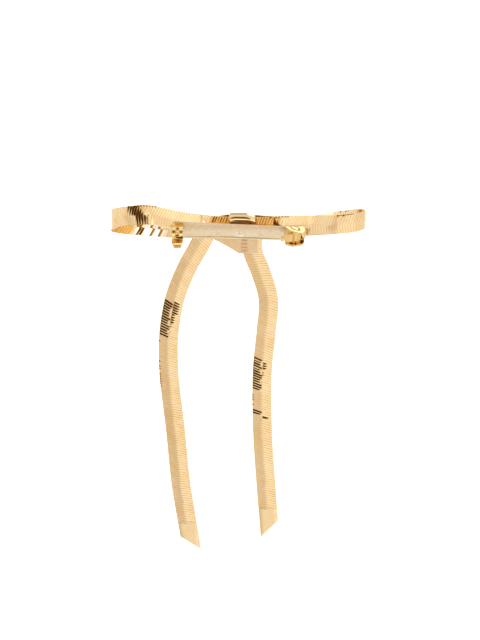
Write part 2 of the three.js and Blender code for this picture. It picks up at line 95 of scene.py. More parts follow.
# The chain's centre lines, the same as in the CAD: [x, y, z] for the loops and [x, z] for the tails.
LEFT_LOOP_ROUTE = [
    [-10.5, 4.0, 0.3], [-18.5, 2.5, 2.0], [-27.5, 1.6, 3.9], [-34.5, 2.3, 3.3], [-38.0, 4.3, 1.7],
    [-38.2, 7.2, -0.4], [-34.8, 9.3, -2.0], [-27.5, 9.9, -2.9], [-20.5, 9.3, -3.2], [-12.0, 8.0, -2.4],
]
RIGHT_LOOP_ROUTE = [
    [12.0, 4.1, 0.0], [21.8, 2.5, 1.0], [30.5, 1.7, 2.1], [35.6, 2.6, 2.5], [38.0, 4.6, 2.6],
    [38.0, 7.0, 2.2], [35.0, 9.2, 1.4], [29.5, 9.8, 0.5], [21.5, 9.2, -0.9], [12.5, 8.1, -0.9],
]
LEFT_TAIL_ROUTE = [
    [-9.2, 0.5], [-11.1, -4], [-15.7, -13], [-19.3, -23], [-21.1, -35],
    [-21.0, -48], [-18.9, -67], [-17.0, -86], [-15.3, -97], [-13.7, -106.9],
]
RIGHT_TAIL_ROUTE = [
    [4.3, 1], [4.3, -7], [6.9, -14], [9.4, -23], [8.9, -34],
    [8.0, -47], [8.5, -68], [10.0, -87], [11.3, -101.5],
]


# ---------------------------------------------------------------- curves
class Line:
    """A centre line given as many close points, measured along its length, in millimetres."""

    def __init__(self, points):
        self.points = np.array(points, float)
        steps = np.linalg.norm(np.diff(self.points, axis=0), axis=1)
        self.along = np.concatenate([[0.0], np.cumsum(steps)])
        self.length = float(self.along[-1])

    def point(self, places):
        """Points at those lengths along the line. Past an end it runs on straight."""
        inside = np.clip(places, 0, self.length)
        found = np.stack([np.interp(inside, self.along, self.points[:, k]) for k in range(3)], axis=-1)
        before = np.minimum(places, 0)[..., None] * self._direction(0, 1)
        after = np.maximum(places - self.length, 0)[..., None] * self._direction(-2, -1)
        return found + before + after

    def _direction(self, a, b):
        step = self.points[b] - self.points[a]
        return step / np.linalg.norm(step)

    def tangent(self, places, reach=0.15):
        step = self.point(places + reach) - self.point(places - reach)
        return step / np.linalg.norm(step, axis=-1, keepdims=True)


def curve_through(points, steps=60):
    """A centripetal Catmull-Rom curve through the points, as three.js makes it."""
    p = [np.array(q, float) for q in points]
    p = [2 * p[0] - p[1], *p, 2 * p[-1] - p[-2]]
    t = np.linspace(0, 1, steps, endpoint=False)[:, None]
    found = []
    for a, b, c, d in zip(p, p[1:], p[2:], p[3:]):
        ab, bc, cd = (math.sqrt(np.linalg.norm(v)) for v in (b - a, c - b, d - c))
        leave = ((b - a) / ab - (c - a) / (ab + bc) + (c - b) / bc) * bc
        arrive = ((c - b) / bc - (d - b) / (bc + cd) + (d - c) / cd) * bc
        cubic = 2 * (b - c) + leave + arrive
        square = 3 * (c - b) - 2 * leave - arrive
        found.append(b + leave * t + square * t**2 + cubic * t**3)
    return Line(np.concatenate([*found, [p[-2]]]))


def loop_line(route, side):
    end_x = KNOT_X + side * LOOP_END_GAP / 2
    exit_x = KNOT_X + side * (KNOT_WIDTH / 2 + KNOT_EXIT)
    near = [[end_x, NEAR_Y, KNOT_Z], [exit_x, NEAR_Y, KNOT_Z]]
    far = [[exit_x, FAR_Y, KNOT_Z], [end_x, FAR_Y, KNOT_Z]]
    return curve_through([*near, *route, *far])


def tail_line(route):
    return curve_through([[x, TAIL_Y, z] for x, z in route])


def knot_line():
    """The middle of the knot's band: a rectangle with round corners, in the plane x = KNOT_X."""
    low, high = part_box("knot_wrap")
    inset = CHAIN_THICKNESS / 2
    left, right = low.y / MM + inset, high.y / MM - inset
    bottom, top = low.z / MM + inset, high.z / MM - inset
    radius = KNOT_CORNER - inset
    corners = [(left, bottom, 180), (right, bottom, 270), (right, top, 0), (left, top, 90)]
    points = []
    for y, z, first in corners:
        middle_y = y + radius * (1 if y == left else -1)
        middle_z = z + radius * (1 if z == bottom else -1)
        for angle in np.radians(np.linspace(first, first + 90, 10)):
            points.append([KNOT_X, middle_y + radius * math.cos(angle), middle_z + radius * math.sin(angle)])
    return Line([*points, points[0]])


# ---------------------------------------------------------------- materials
def new_material(name):
    material = bpy.data.materials.new(name)
    material.use_nodes = True
    material.node_tree.nodes.clear()
    return material, material.node_tree


def add(tree, kind, values=None, **settings):
    """A new node with its settings, and the values of its unlinked sockets."""
    node = tree.nodes.new(kind)
    for key, value in settings.items():
        setattr(node, key, value)
    for key, value in (values or {}).items():
        node.inputs[key].default_value = value
    return node


def noise(tree, coordinates, scale, detail=3.0, stretch=(1, 1, 1)):
    mapping = add(tree, "ShaderNodeMapping", {"Scale": stretch})
    tree.links.new(coordinates, mapping.inputs["Vector"])
    texture = add(tree, "ShaderNodeTexNoise", {"Scale": scale, "Detail": detail})
    tree.links.new(mapping.outputs["Vector"], texture.inputs["Vector"])
    return texture.outputs["Fac"]


def spread(tree, value, low, high, from_low=0.3, from_high=0.7):
    """The value between from_low and from_high, spread over low to high."""
    ranged = add(tree, "ShaderNodeMapRange", {1: from_low, 2: from_high, 3: low, 4: high})
    tree.links.new(value, ranged.inputs[0])
    return ranged.outputs[0]


def mix_colours(tree, factor, first, second):
    mixed = add(tree, "ShaderNodeMix", data_type="RGBA")
    for socket, colour in ((6, first), (7, second)):
        if isinstance(colour, tuple):
            mixed.inputs[socket].default_value = (*colour, 1)
        else:
            tree.links.new(colour, mixed.inputs[socket])
    tree.links.new(factor, mixed.inputs[0])
    return mixed.outputs[2]


# What a point's shade paints into the gold: -1 is a painted highlight, 0 is plain, 1 is painted shade and
# gold-on-gold reflection in deep orange, 2 is painted dark, for dark reflections and the shade in gaps.
PAINTED_HIGHLIGHT_TONE = (0.99, 0.95, 0.86)
PAINTED_SHADE_TONE = (0.82, 0.40, 0.06)
PAINTED_DARK_TONE = (0.05, 0.03, 0.012)
PATCH_SCALE = 160
POLISH_SCALE = 900
EVEN_GRAIN = (1, 1, 1)
DRAWN_GRAIN = (0.1, 1, 1)  # stretched along X, as on drawn wire and rolled strip
ROLLED_GRAIN = (0.08, 1, 1)
FINE_GRAIN = 5000


def gold(name, pale, warm, roughness, grain=EVEN_GRAIN, grain_scale=2500, grain_depth=0.004, shaded=False):
    """Plated gold: two tones in soft patches, uneven polish and a fine grain, grain_depth millimetres deep.
    The shade attribute, which paints shade, reflection and highlight into the colour, is read where shaded is
    true."""
    material, tree = new_material(name)
    place = add(tree, "ShaderNodeTexCoord").outputs["Object"]
    shader = add(tree, "ShaderNodeBsdfPrincipled", {"Metallic": 1.0})
    patches = spread(tree, noise(tree, place, PATCH_SCALE), 0, 1)
    colour = mix_colours(tree, patches, pale, warm)
    if shaded:
        shade = add(tree, "ShaderNodeAttribute", attribute_name="shade").outputs["Fac"]
        # Painted light: the shade attribute mixes in painted shade and reflection, painted dark and painted
        # highlight.
        colour = mix_colours(tree, shade, colour, PAINTED_SHADE_TONE)
        colour = mix_colours(tree, spread(tree, shade, 0, 1, 1, 2), colour, PAINTED_DARK_TONE)
        colour = mix_colours(tree, spread(tree, shade, 1, 0, -1, 0), colour, PAINTED_HIGHLIGHT_TONE)
    tree.links.new(colour, shader.inputs["Base Color"])
    polish = noise(tree, place, POLISH_SCALE, 4)
    tree.links.new(spread(tree, polish, roughness * 0.75, roughness * 1.35), shader.inputs["Roughness"])
    fine = noise(tree, place, grain_scale, 2, grain)
    bump = add(tree, "ShaderNodeBump", {"Strength": 0.35, "Distance": grain_depth * MM})
    tree.links.new(fine, bump.inputs["Height"])
    tree.links.new(bump.outputs["Normal"], shader.inputs["Normal"])
    output = add(tree, "ShaderNodeOutputMaterial")
    tree.links.new(shader.outputs[0], output.inputs["Surface"])
    return material


CHAIN_GOLD = gold("chain_gold", (0.90, 0.68, 0.40), (0.86, 0.62, 0.32), 0.11, shaded=True)
KNOT_GOLD = gold("knot_gold", (0.90, 0.68, 0.40), (0.86, 0.60, 0.30), 0.1, shaded=True)
TIP_GOLD = gold("tip_gold", (0.92, 0.70, 0.40), (0.90, 0.65, 0.34), 0.3, grain_depth=0.01)
PLATE_GOLD = gold("plate_gold", (0.86, 0.71, 0.50), (0.84, 0.67, 0.45), 0.3, ROLLED_GRAIN, FINE_GRAIN, 0.003)
TAB_GOLD = gold("tab_gold", (0.87, 0.64, 0.38), (0.85, 0.60, 0.34), 0.4)
RIVET_GOLD = gold("rivet_gold", (0.98, 0.88, 0.76), (0.96, 0.84, 0.70), 0.35)
FITTING_GOLD = gold("fitting_gold", (0.92, 0.68, 0.30), (0.88, 0.58, 0.20), 0.17)
HINGE_GOLD = gold("hinge_gold", (0.84, 0.58, 0.25), (0.76, 0.47, 0.15), 0.12)
STEM_GOLD = gold("stem_gold", (0.95, 0.78, 0.48), (0.92, 0.72, 0.40), 0.1, DRAWN_GRAIN, FINE_GRAIN)


# ---------------------------------------------------------------- mesh helpers
LINK_CREASE = math.radians(22)  # edges sharper than this stay sharp on made shapes
BLANK_CREASE = math.radians(38)  # and on the CAD's shapes, where they are rounded too
FLAT_WITHIN = math.radians(1)  # the CAD's triangles that lie flatter than this join into one face
WELD_WITHIN = 0.01


def mend(mesh, weld=False):
    """Turns every face outwards. weld first joins points that lie on each other, as where a band closes."""
    work = bmesh.new()
    work.from_mesh(mesh)
    if weld:
        bmesh.ops.remove_doubles(work, verts=work.verts, dist=WELD_WITHIN * MM)
    bmesh.ops.recalc_face_normals(work, faces=work.faces)
    work.to_mesh(mesh)
    work.free()


def to_object(name, points, faces, material, shade=None):
    """A smooth-shaded object from points in millimetres."""
    mesh = bpy.data.meshes.new(name)
    mesh.from_pydata([tuple(p) for p in np.asarray(points, float) * MM], [], faces)
    mesh.validate()
    made = bpy.data.objects.new(name, mesh)
    bpy.context.scene.collection.objects.link(made)
    mesh.materials.append(material)
    mend(mesh)
    if shade is not None:
        values = mesh.attributes.new("shade", "FLOAT", "POINT").data
        values.foreach_set("value", np.asarray(shade, np.float32))
    mesh.shade_smooth()
    mesh.set_sharp_from_angle(angle=LINK_CREASE)
    return made


def finished(node, bevel, material, body="brooch", worn=None, flat=False):
    """A copy of a CAD node with its sharp edges rounded, which stands for it. worn moves each corner, as a
    function of its place in millimetres. flat keeps wide faces looking flat beside their rounded edges."""
    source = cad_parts[node].data
    work = bmesh.new()
    corners = [work.verts.new(v.co) for v in source.vertices]
    for polygon in source.polygons:
        work.faces.new([corners[i] for i in polygon.vertices])
    bmesh.ops.remove_doubles(work, verts=work.verts, dist=1e-6)
    bmesh.ops.dissolve_limit(work, angle_limit=FLAT_WITHIN, verts=work.verts, edges=work.edges)
    sharp = [e for e in work.edges if e.is_manifold and e.calc_face_angle() > BLANK_CREASE]
    bmesh.ops.bevel(
        work, geom=sharp, offset=bevel * MM, segments=3, profile=0.5, affect="EDGES", clamp_overlap=True,
    )
    bmesh.ops.triangulate(work, faces=[f for f in work.faces if len(f.verts) > 4])
    if worn:
        for corner in work.verts:
            corner.co = Vector(worn(*(corner.co / MM))) * MM
    mesh = bpy.data.meshes.new(node + "_finished")
    work.to_mesh(mesh)
    work.free()
    mesh.materials.append(material)
    mesh.shade_smooth()
    mesh.set_sharp_from_angle(angle=BLANK_CREASE)
    made = bpy.data.objects.new(node + "_finished", mesh)
    bpy.context.scene.collection.objects.link(made)
    if flat:
        made.modifiers.new("flat_faces", "WEIGHTED_NORMAL").keep_sharp = True
    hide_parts(node)
    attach(made, body)
    return made


# ---------------------------------------------------------------- herringbone chain
LINK_PITCH = 0.83
ACROSS = np.array([-1, -0.95, -0.75, -0.5, -0.25, -0.04, 0.04, 0.25, 0.5, 0.75, 0.95, 1])
ROWS = np.array([0.0, 0.05, 0.41, 0.77, 0.94])  # places within one link, from groove to groove
GROOVE = np.array([1.0, 0.0, 0.0, 0.0, 0.0])  # 1 at the bottom of the groove between links
RAMP = np.array([0.0, -0.36, 0.0, 0.36, 0.36])  # each link's face: a sloping facet and a flat one
FACE_SINK = 0.03  # from the CAD's face down to the links' highest line, which leaves room for their slopes
GROOVE_DEPTH = 0.06
ROOF = 0.22  # how much lower the chain's edges are than its middle
EDGE_ROUND = 0.18
EDGE_BITE = 0.12  # how far a groove cuts into the chain's edge
# Waves in how the links lie: degrees, radians for each millimetre, and radians between the two halves.
WAVES = [(1.2, 0.23, 2), (0.6, 0.61, 1)]
PLAIN_SLOPE = -1.0
UNEVEN_SLOPE = 0.6
PATCH_UNEVEN_SLOPE = 2.0
PATCH_RAGGED = 0.06  # how unevenly a patch of links ends, across the chain
GAP_SHADE = 2.0  # the painted dark of a dot, the shade in a gap at the chain's edge
DOT_CHANCE = 0.6


def by_place(table, places):
    """Each column of a table of (place, value, ...) rows, read at those places along a chain."""
    return [np.interp(places, [row[0] for row in table], column) for column in list(zip(*table))[1:]]


class Patch(NamedTuple):
    """Links that lie at a slope of their own, or that carry painted shade, painted reflection or painted
    highlight, over part of a chain.
    """

    first: float  # lengths along the chain's line, in millimetres
    last: float
    low: float = -1.0  # places across the chain, from -1 to 1
    high: float = 1.0
    high_end: float = None  # the high place at the patch's far end, where it narrows
    slope: float = 0.0  # degrees
    # shade: painted shade and gold-on-gold reflection up to 1, painted dark above 1, painted highlight below
    # 0
    shade: float = 0.0
    gap: float = 0.0  # painted dark on the links' sloping facets only, standing for a dark reflection
    shaded_gaps: bool = False  # only the gaps at the edge at low, here and there, painted dark for their shade


class Chain:
    """A length of herringbone chain along a line, with its links numbered from the start. hint points
    across the chain. leans gives (place, low half, high half), how far each half's links lean along the chain
    in millimetres. rolls gives (place, degrees) of turn about the line, and a rolled chain moves along its
    normal by inside, in millimetres, times the sine of its roll."""

    def __init__(self, line, start, end, hint, leans, seed, patches=(), rolls=((0, 0),), inside=-1):
        self.line = line
        self.start = start
        self.count = round((end - start) / LINK_PITCH)
        self.pitch = (end - start) / self.count
        self.hint = hint
        self.leans = leans
        self.half_width = CHAIN_WIDTH / 2
        self.rolls = rolls
        self.inside = inside
        chance = random.Random(seed)
        self.tones = np.array([chance.random() for _ in range(self.count)])
        self.slopes = np.array([self._slopes(link, chance) for link in range(self.count)])
        # Painted light for each link's points: painted shade, reflection and highlight, and painted dark.
        self.shades = np.zeros((self.count, len(ACROSS)))
        self.painted_darks = np.zeros((self.count, len(ACROSS)))
        for patch in patches:
            self._lay(patch, chance)

    def _middle(self, link):
        return self.start + (link + 0.5) * self.pitch

    def _slopes(self, link, chance):
        """The slope of one link's face at each place across, in degrees."""
        place = self._middle(link)
        halves = []
        for half in (0, 1):
            wave = sum(size * math.sin(place * rate + shift * half) for size, rate, shift in WAVES)
            halves.append(wave + chance.uniform(-UNEVEN_SLOPE, UNEVEN_SLOPE) + PLAIN_SLOPE)
        return np.where(ACROSS < 0, *halves)

    def _lay(self, patch, chance):
        """Gives the patch's links their slope and their painted shade, painted dark or painted highlight."""
        for link in range(self.count):
            share = (self._middle(link) - patch.first) / (patch.last - patch.first)
            if not 0 <= share <= 1:
                continue
            if patch.shaded_gaps:
                # Painted shade: gaps at the chain's edge are painted dark here and there.
                at_edge = np.abs(ACROSS - patch.low) < 0.06
                self.painted_darks[link][at_edge] = GAP_SHADE * (chance.random() < DOT_CHANCE)
                continue
            narrow = patch.high if patch.high_end is None else patch.high_end
            high = patch.high + (narrow - patch.high) * share + chance.uniform(-PATCH_RAGGED, PATCH_RAGGED)
            inside = (ACROSS >= patch.low) & (ACROSS <= high)
            if patch.slope:
                uneven = chance.uniform(-PATCH_UNEVEN_SLOPE, PATCH_UNEVEN_SLOPE)
                self.slopes[link][inside] = patch.slope + uneven
            self.shades[link][inside] = patch.shade
            self.painted_darks[link][inside] = patch.gap

    def link_at(self, place):
        return round((place - self.start) / self.pitch)

    def points(self, places, across, off):
        """Points from lengths along the line, distances across it and heights over it."""
        point = self.line.point(places)
        tangent = self.line.tangent(places)
        width = self.hint - tangent * (tangent @ self.hint)[..., None]
        width /= np.linalg.norm(width, axis=-1, keepdims=True)
        normal = np.cross(width, tangent)
        roll = np.radians(by_place(self.rolls, places)[0])[..., None]
        aside = width * np.cos(roll) - normal * np.sin(roll)
        over = normal * np.cos(roll) + width * np.sin(roll)
        shift = normal * np.abs(np.sin(roll)) * self.inside
        return point + aside * across[..., None] + over * off[..., None] + shift

    def edge(self, link):
        """Lengths along the line at each place across, that many links from the start. Each half's links
        lean along the chain, and their lines step back between the halves."""
        place = self.start + np.asarray(link)[..., None] * self.pitch
        low, high = by_place(self.leans, place)
        return place + np.where(ACROSS < 0, low * (ACROSS + 1), high * ACROSS)

    def grid(self, first, last):
        """Two faces of links, each as rows of points, and each point's painted shade or highlight."""
        rows = [(link, k) for link in range(first, last) for k in range(len(ROWS))] + [(last, 0)]
        link = np.array([min(r[0], self.count - 1) for r in rows])
        number = np.array([r[0] for r in rows])
        phase, groove, ramp = (table[[r[1] for r in rows]] for table in (ROWS, GROOVE, RAMP))
        places = self.edge(number + phase)
        rise = ramp[:, None] * self.pitch * np.tan(np.radians(self.slopes[link]))
        height = CHAIN_THICKNESS / 2 - FACE_SINK - ROOF * np.abs(ACROSS) - EDGE_ROUND * (np.abs(ACROSS) == 1)
        depth = GROOVE_DEPTH * (0.75 + 0.5 * self.tones[link])
        off = height[None] + rise - (groove * depth)[:, None]
        across = ACROSS[None] * (self.half_width - EDGE_BITE * groove[:, None])
        faces = [self.points(places, across, side * off) for side in (1, -1)]
        sloping = (phase < 0.5)[:, None]
        # uneven is painted shade in the grooves between links, plus a random tone for each link; a patch's
        # painted shade or highlight counts in full on sloping facets and half on flat ones.
        uneven = (groove * 0.4 + 0.1 * self.tones[link])[:, None]
        shades = np.clip(uneven + self.shades[link] * np.where(sloping, 1, 0.5), -1, 2)
        # Painted dark on sloping facets and in the edge gaps.
        painted_darks = self.painted_darks[link] * sloping
        return faces, np.where(painted_darks > 0, np.maximum(shades, painted_darks), shades)


def closed_tube(front, back, cap=True):
    """Points and faces of a closed strip, from the rows of its front and its back. A strip whose last row
    lies on its first has no caps."""
    rings = np.concatenate([front, back[:, ::-1]], axis=1)
    rows, around = rings.shape[:2]
    points = rings.reshape(-1, 3)
    faces = []
    for r in range(rows - 1):
        for k in range(around):
            a, b = r * around + k, r * around + (k + 1) % around
            faces.append((a, b, b + around, a + around))
    if cap:
        columns = front.shape[1]
        last = (rows - 1) * around
        for k in range(columns - 1):
            a, b = around - 1 - k, around - 2 - k
            faces.append((k, a, b, k + 1))
            faces.append((last + k, last + k + 1, last + b, last + a))
    return points, faces


def chain_piece(name, chain, first, last):
    """The links from first to last as one object. Its caller hides what it replaces."""
    (front, back), shade = chain.grid(first, last)
    points, faces = closed_tube(front, back)
    shades = np.concatenate([shade, shade[:, ::-1]], axis=1).ravel()
    made = to_object(name, points, faces, CHAIN_GOLD, shades)
    return made


# ---------------------------------------------------------------- fittings
# How the fittings differ from their CAD blanks after pressing and wear. The places are the CAD's.
BAR_HALF_LENGTH = 20.25
BAR_HALF_HEIGHT = 2.5
BAR_TAPER = 1.1
CATCH_X = -18.5
CATCH_Z = -0.45
CATCH_RADIUS = 3.4
FEET_Y = -1.0  # the catch's ring and the hinge's ears stand out past this, and their feet don't
HINGE_X = 16.9
HINGE_Z = 0.4
EAR_RADIUS = 2.9
KNUCKLE_REACH = 1.0  # from the hinge's middle to where the knuckle's neck begins
NECK_LENGTH = 2.2
STEM_Y = -5.0
STEM_Z = -0.45


def clamped(value):
    """The value, kept between 0 and 1."""
    return min(max(value, 0), 1)


def bar_tapered(x, y, z):
    """The bar's upper edge runs down a little towards the hinge."""
    return x, y, z - BAR_TAPER * (x / BAR_HALF_LENGTH + 1) / 2 * (z / BAR_HALF_HEIGHT + 1) / 2


def drawn_in(x, y, z):
    """The catch is narrower than its blank, and draws in to a round tip at the bottom."""
    low = clamped((CATCH_Z + 0.2 - z) / CATCH_RADIUS)
    narrowed = 0.84 if y < FEET_Y else 1.0
    return CATCH_X + (x - CATCH_X) * narrowed * (1 - 0.5 * low**1.5), y, z


def ears_bent(x, y, z):
    """The upper ear slopes down away from the stem, and the lower one up a little."""
    height = (z - HINGE_Z) / EAR_RADIUS
    slope = 0.26 * max(height, 0) ** 2 - 0.06 * max(-height, 0) ** 2
    drop = slope * (x - HINGE_X + EAR_RADIUS) if y < FEET_Y else 1.2 * max(height, 0)
    return x, y, z - drop


def collar_slim(x, y, z):
    """The knuckle's neck is slimmer towards the stem."""
    slim = 1 - 0.6 * clamped((HINGE_X - KNUCKLE_REACH - x) / NECK_LENGTH)
    return x, STEM_Y + (y - STEM_Y) * slim, STEM_Z + (z - STEM_Z) * slim


# ---------------------------------------------------------------- loops, knot and tails
LOOP_END_SPARE = 0.6  # the chain stops this far short of its line's ends, inside the knot
BLEND_REACH = 3.0  # how far to each side of a tail's joint the points on its line are read
KNOT_SINK = 0.06  # from the CAD's face down to the band's, which leaves room for its ridges
KNOT_RIDGE = 0.04
KNOT_ROUND = 0.12  # how far the band falls off over the last part of its width
KNOT_EDGE_ROUND = 0.16  # and at its very edge
KNOT_LOWERED = 0.35  # the band's top lies this much lower than its blank's
KNOT_RIGHT_DRAWN = 0.75  # and up to this much lower still towards its right end
KNOT_LEFT_DRAWN = 0.25
TIP_START_GAP = 0.02
TIP_SINK = 0.07  # how far the soldered tips lie inside the CAD's faces
TIP_INSET = 0.04  # and inside its edges
TIP_ROUND = 0.28
TIP_DENT = 0.03


def loop(side_name, route, side, leans, patches, rolls, inside):
    line = loop_line(route, side)
    ends = LOOP_END_SPARE, line.length - LOOP_END_SPARE
    chain = Chain(line, *ends, Z_AXIS, leans, side + 5, patches, rolls, inside)
    made = chain_piece(side_name + "_loop_chain", chain, 0, chain.count)
    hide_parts(side_name + "_loop")
    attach(made, "brooch")


def knot_band():
    """The band round the middle, worn round at its ends and drawn down at one of them."""
    line = knot_line()
    places = np.linspace(0, line.length, 150)
    across = np.concatenate([[-1], np.linspace(-0.97, 0.97, 22), [1]])
    point = line.point(places)
    tangent = line.tangent(places)
    tangent[0] = tangent[-1] = (tangent[0] + tangent[-1]) / 2
    out = np.cross(X_AXIS, tangent)
    out /= np.linalg.norm(out, axis=-1, keepdims=True)
    half = CHAIN_THICKNESS / 2 - KNOT_SINK
    outer = np.clip((np.abs(across) - 0.6) / 0.4, 0, 1)
    rounded = KNOT_ROUND * outer**2 + KNOT_EDGE_ROUND * (np.abs(across) == 1)
    ridge = KNOT_RIDGE * np.sin(across * 7) * (1 - across**4)
    right, left = np.clip((across - 0.1) / 0.9, 0, 1), np.clip(-across - 0.5, 0, 0.5)
    drawn = KNOT_LOWERED + KNOT_RIGHT_DRAWN * right**2 + KNOT_LEFT_DRAWN * left
    aside = X_AXIS * (across * KNOT_WIDTH / 2)[None, :, None]
    sides = []
    for off in (half - rounded + ridge, rounded - half):
        side = point[:, None] + out[:, None] * off[None, :, None] + aside
        high = np.clip((side[..., 2] - 1) / 2.5, 0, 1)
        side[..., 2] -= drawn[None] * high
        sides.append(side)
    points, faces = closed_tube(*sides, cap=False)
    made = to_object("knot_band", points, faces, KNOT_GOLD, np.full(len(points), 0.1))
    mend(made.data, weld=True)
    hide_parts("knot_wrap")
    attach(made, "brooch")


def tail_tip(side_name, chain, end, slant):
    """The smooth soldered end of a tail, from the last link to the slanting cut."""
    shares = np.concatenate([np.linspace(0, 0.9, 9), [0.95, 0.985, 1.0]])
    thin = np.array([0.0] * 10 + [0.06, 0.2])  # the last two rows round off the cut
    first = chain.edge(chain.count) + TIP_START_GAP
    last = end + slant * ACROSS / 2
    places = first[None] + (last - first)[None] * shares[:, None]
    edge = TIP_ROUND * np.clip((np.abs(ACROSS) - 0.9) / 0.1, 0, 1)
    dent = TIP_DENT * np.sin(places * 1.9) * (1 - np.abs(ACROSS)[None] ** 4)
    off = CHAIN_THICKNESS / 2 - TIP_SINK - edge[None] - thin[:, None] + dent * (1 - shares[:, None])
    across = np.broadcast_to(ACROSS[None] * (chain.half_width - TIP_INSET), places.shape)
    front, back = (chain.points(places, across, side * off) for side in (1, -1))
    points, faces = closed_tube(front, back)
    made = to_object(side_name + "_tail_tip_solder", points, faces, TIP_GOLD)
    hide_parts(side_name + "_tail_tip")
    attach(made, side_name + "_tail_end")


def tail(side_name, route, root_length, inward, patches):
    """A tail in two pieces of chain, split midway between its two joints, and its tip. inward is 1 or -1, the
    side along X that faces the other tail, where the slanting cut reaches furthest."""
    line = tail_line(route)
    bend = root_length + UPPER_TAIL_LENGTH
    end = line.length - TAIL_TIP_LENGTH
    chain = Chain(line, 0, end, X_AXIS, [(0, 1.1, 1.1)], seed=int(root_length), patches=patches)
    middle = chain.link_at((root_length + bend) / 2)
    swing = side_name + "_tail"
    top = chain_piece(swing + "_top_chain", chain, 0, middle)
    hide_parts(swing + "_root", swing + "_upper")
    bottom = chain_piece(swing + "_bottom_chain", chain, middle, chain.count)
    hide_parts(swing + "_lower")
    joints = (top, "brooch", swing, root_length), (bottom, swing, swing + "_end", bend)
    for made, parent, child, pivot in joints:
        start, end = line.point(np.array([pivot - BLEND_REACH, pivot + BLEND_REACH])) * MM
        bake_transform(made)
    tail_tip(side_name, chain, line.length, inward * TAIL_TIP_SLANT)


# ---------------------------------------------------------------- how each length of chain lies
# Leans and rolls are tables by the length along the chain's line, and patches are as Patch says.
LEFT_LEANS = [(0, 0.2, -1.1), (40, 0.1, -1.1), (48, 1.1, 1.1)]
RIGHT_LEANS = [(0, -0.25, 1.1), (40, -0.25, 1.1), (47, -1.1, -1.1)]
LEFT_ROLLS = [
    (0, 12), (9.5, 12), (12.5, 33), (27, 34), (29.5, 29), (31.5, 19), (33.5, 11), (37, 3), (40, 0),
    (50, 0), (53, 12), (70, 12), (74, 0),
]
RIGHT_ROLLS = [
    (0, -12), (9.5, -12), (12.5, -31), (20, -28), (29, 0), (41, 0), (46, 27), (62, 27), (67, 0),
]
LEFT_LOOP_PATCHES = [
    # Painted shade and gold-on-gold reflection beside the knot.
    Patch(0, 10.5, slope=-8, shade=0.9),
    # Sloping links whose sloping facets carry painted dark, for a dark reflection.
    Patch(30.2, 36, 0.0, 1.0, slope=9, shade=0.1, gap=0.5),
    Patch(28.8, 33, -1, -0.04, slope=11, shade=0.1, gap=0.5),
    # Painted shade in gaps at the edge.
    Patch(28, 37, low=1, shaded_gaps=True),
    # Painted gold-on-gold reflection inside the turn.
    Patch(42.5, 50.5, shade=1.0),
    # Painted highlight on the far strip, crossed by bars of painted dark reflection.
    Patch(51.0, 60.5, shade=-1.0),
    Patch(52.2, 53.2, slope=20, shade=1.7),
    Patch(56.0, 56.9, slope=20, shade=1.7),
    Patch(58.4, 59.4, slope=20, shade=1.7),
]
RIGHT_LOOP_PATCHES = [
    # Painted shade and gold-on-gold reflection beside the knot, then painted shade in gaps at the edge.
    Patch(0, 11, slope=8, shade=0.9),
    Patch(7, 13.5, low=1, shaded_gaps=True),
    Patch(28, 31, low=1, shaded_gaps=True),
    Patch(46.5, 49.5, low=1, shaded_gaps=True),
]
LEFT_TAIL_PATCHES = [
    # Sloping links whose sloping facets carry painted dark, for a dark reflection, then painted shade in gaps
    # at the edge.
    Patch(26.4, 38.2, -1, -0.04, slope=17, shade=0.1, gap=0.4),
    Patch(26.9, 36.5, 0.04, 0.7, 0.1, slope=17, shade=0.1, gap=0.4),
    Patch(38.4, 56, low=-1, shaded_gaps=True),
]
RIGHT_TAIL_PATCHES = [
    # Sloping links whose sloping facets carry painted dark, for a dark reflection, then painted shade in gaps
    # at the edge.
    Patch(44.2, 54.7, -1, -0.04, slope=17, shade=0.1, gap=0.4),
    Patch(45.5, 51, 0.04, 0.4, 0.1, slope=17, shade=0.1, gap=0.4),
    Patch(61.5, 63.2, -1, -0.04, slope=17, shade=0.1, gap=0.4),
    Patch(64.2, 65.1, 0.04, 0.5, slope=17, shade=0.1, gap=0.4),
    Patch(55, 61, low=-1, shaded_gaps=True),
]


# ---------------------------------------------------------------- camera, lights and floor
VIEW_ELEVATION = math.radians(22)
VIEW_ROLL = math.radians(1)
VIEW_DISTANCE = 0.82
VIEW_TARGET = Vector((0.0008, 0, -0.0291))
VIEW_LENS = 150
BOW_CENTRE = (0, 0, -0.05)
FLOOR_GAP = 0.004


def camera():
    data = bpy.data.cameras.new("camera")
    data.lens = VIEW_LENS
    data.sensor_width = 36
    made = bpy.data.objects.new("camera", data)
    bpy.context.scene.collection.objects.link(made)
    back = Vector((0, -math.cos(VIEW_ELEVATION), math.sin(VIEW_ELEVATION)))
    turn = (-back).to_track_quat("-Z", "Y").to_matrix().to_4x4() @ Matrix.Rotation(VIEW_ROLL, 4, "Z")
    made.matrix_world = Matrix.Translation(VIEW_TARGET + back * VIEW_DISTANCE) @ turn
    bpy.context.scene.camera = made


def direction_zone(tree, place, azimuth, elevation, inner, outer):
    """1 inside a round zone of the sky, in degrees, fading to 0 at its outer radius."""
    a, e = math.radians(azimuth), math.radians(elevation)
    axis = (math.sin(a) * math.cos(e), -math.cos(a) * math.cos(e), math.sin(e))
    dot = add(tree, "ShaderNodeVectorMath", {1: axis}, operation="DOT_PRODUCT")
    tree.links.new(place, dot.inputs[0])
    limits = {1: math.cos(math.radians(outer)), 2: math.cos(math.radians(inner)), 3: 0, 4: 1}
    ranged = add(tree, "ShaderNodeMapRange", limits, interpolation_type="SMOOTHSTEP")
    tree.links.new(dot.outputs["Value"], ranged.inputs[0])
    return ranged.outputs[0]


ROOM_LIGHT = 1.05
DARKEST = 0.07
DARK_TINT = (0.9, 0.52, 0.22)  # what the dark corners reflect
BACKDROP_LIGHT = 1.2
